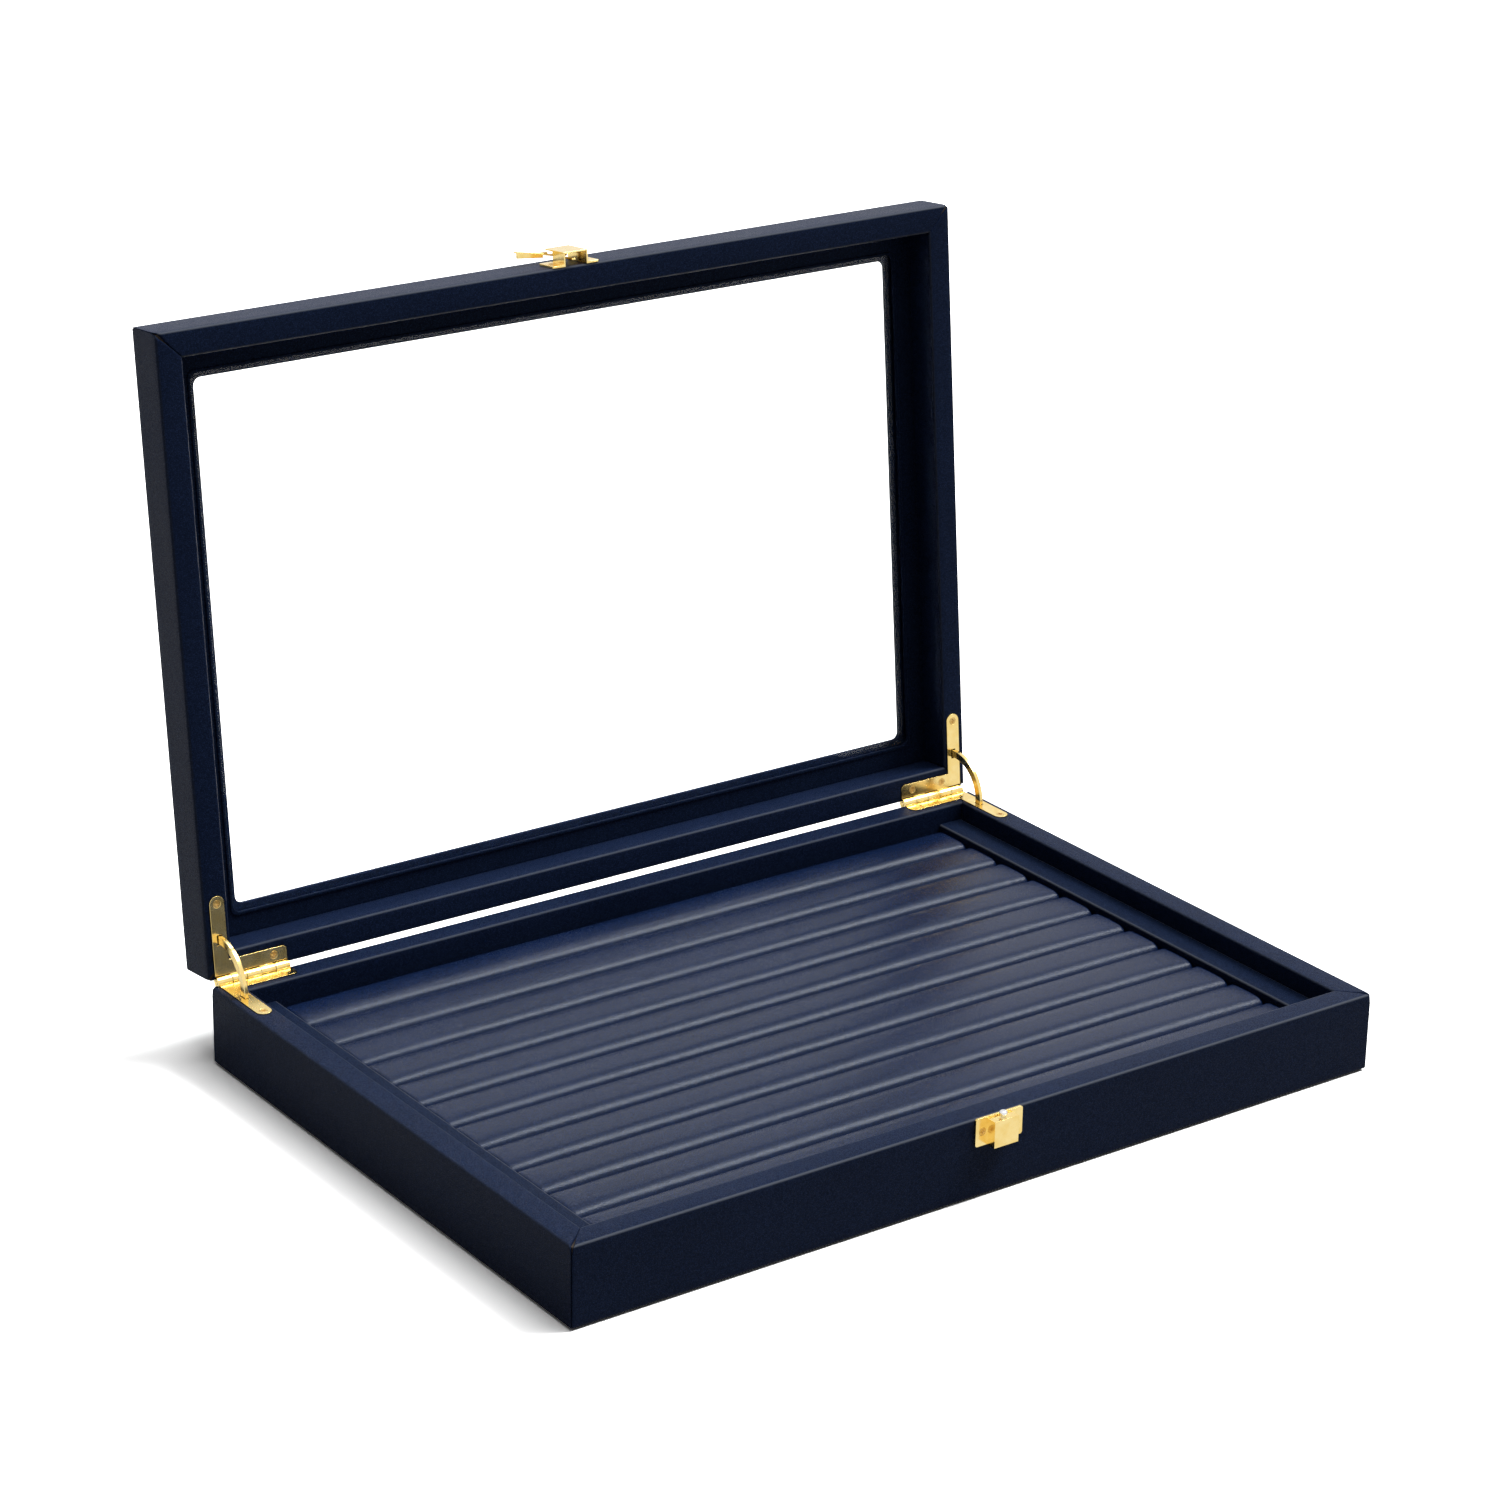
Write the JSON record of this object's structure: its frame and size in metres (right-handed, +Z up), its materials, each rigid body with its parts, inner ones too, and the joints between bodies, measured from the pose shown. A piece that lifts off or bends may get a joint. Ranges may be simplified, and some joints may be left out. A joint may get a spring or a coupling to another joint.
{
  "type": "cufflink display box",
  "caption": "Flat leatherette display box with padded slot bars, hinged glass-window lid on quadrant hinges with stay arms, and a lever clasp; lid folds flat to close.",
  "frame": {"origin": "middle of the underside, on the surface that the box rests on", "axes": "+X to the right along the width, +Y to the back where the hinges are, +Z up; the lid stands open at its stop"},
  "size_m": [0.35, 0.2871, 0.2764],
  "materials": {
    "navy_leatherette": "fine pebble grain, satin",
    "ledge_leatherette": "fine pebble grain, satin",
    "padded_leatherette": "soft leatherette over foam, satin",
    "fibreboard": "raw fibreboard",
    "black_felt": "short felt",
    "clear_glass": "polished",
    "gilt_brass": "polished gilt",
    "bright_steel": "polished"
  },
  "bodies": {
    "base": {"base_front_core": "fibreboard", "base_back_core": "fibreboard", "base_left_core": "fibreboard", "base_right_core": "fibreboard", "base_front_skin": "navy_leatherette", "base_back_skin": "navy_leatherette", "base_left_skin": "navy_leatherette", "base_right_skin": "navy_leatherette", "base_floor": "fibreboard", "underside_felt": "black_felt", "tray_board": "fibreboard", "tray_left_ledge": "ledge_leatherette", "tray_right_ledge": "ledge_leatherette", "padded_bar_01": "padded_leatherette", "padded_bar_02": "padded_leatherette", "padded_bar_03": "padded_leatherette", "padded_bar_04": "padded_leatherette", "padded_bar_05": "padded_leatherette", "padded_bar_06": "padded_leatherette", "padded_bar_07": "padded_leatherette", "padded_bar_08": "padded_leatherette", "padded_bar_09": "padded_leatherette", "padded_bar_10": "padded_leatherette", "padded_bar_11": "padded_leatherette", "clasp_base_plate": "gilt_brass", "clasp_stud": "bright_steel", "clasp_base_screws": "gilt_brass", "left_hinge_base_leaf": "gilt_brass", "left_hinge_pin": "gilt_brass", "left_hinge_base_screws": "gilt_brass", "right_hinge_base_leaf": "gilt_brass", "right_hinge_pin": "gilt_brass", "right_hinge_base_screws": "gilt_brass"},
    "lid": {"lid_front_core": "fibreboard", "lid_back_core": "fibreboard", "lid_left_core": "fibreboard", "lid_right_core": "fibreboard", "lid_front_skin": "navy_leatherette", "lid_back_skin": "navy_leatherette", "lid_left_skin": "navy_leatherette", "lid_right_skin": "navy_leatherette", "lid_top_panel": "navy_leatherette", "glass_pane": "clear_glass", "lid_liner": "navy_leatherette", "left_hinge_lid_leaf": "gilt_brass", "left_hinge_lid_screws": "gilt_brass", "right_hinge_lid_leaf": "gilt_brass", "right_hinge_lid_screws": "gilt_brass", "clasp_lid_bracket": "gilt_brass", "clasp_lid_screws": "gilt_brass", "lever_rivet": "gilt_brass", "lever_spring": "bright_steel"},
    "left_stay": {"left_stay_arm": "gilt_brass"},
    "right_stay": {"right_stay_arm": "gilt_brass"},
    "lever": {"thumb_lever": "gilt_brass"}
  },
  "joints": [
    {"name": "lid_hinge", "type": "hinge", "parent": "base", "child": "lid", "pos_m": [0, 0.1207, 0.0315], "axis": [1, 0, 0], "range_deg": [0, 95.5]},
    {"name": "left_stay_swing", "type": "hinge", "parent": "base", "child": "left_stay", "pos_m": [-0.1695, 0.1207, 0.0315], "axis": [1, 0, 0], "range_deg": [0, 47.75]},
    {"name": "right_stay_swing", "type": "hinge", "parent": "base", "child": "right_stay", "pos_m": [0.1695, 0.1207, 0.0315], "axis": [1, 0, 0], "range_deg": [0, 47.75]},
    {"name": "lever_lift", "type": "hinge", "parent": "lid", "child": "lever", "pos_m": [0, 0.15508, 0.27272], "axis": [0, -0.0958, -0.9954], "range_deg": [0, 8], "stiffness_Nm_per_rad": 0.02, "springref_deg": -17.19}
  ],
  "couplings": [
    {"joint": "left_stay_swing", "follows": "lid_hinge", "ratio": 0.5},
    {"joint": "right_stay_swing", "follows": "lid_hinge", "ratio": 0.5}
  ]
}
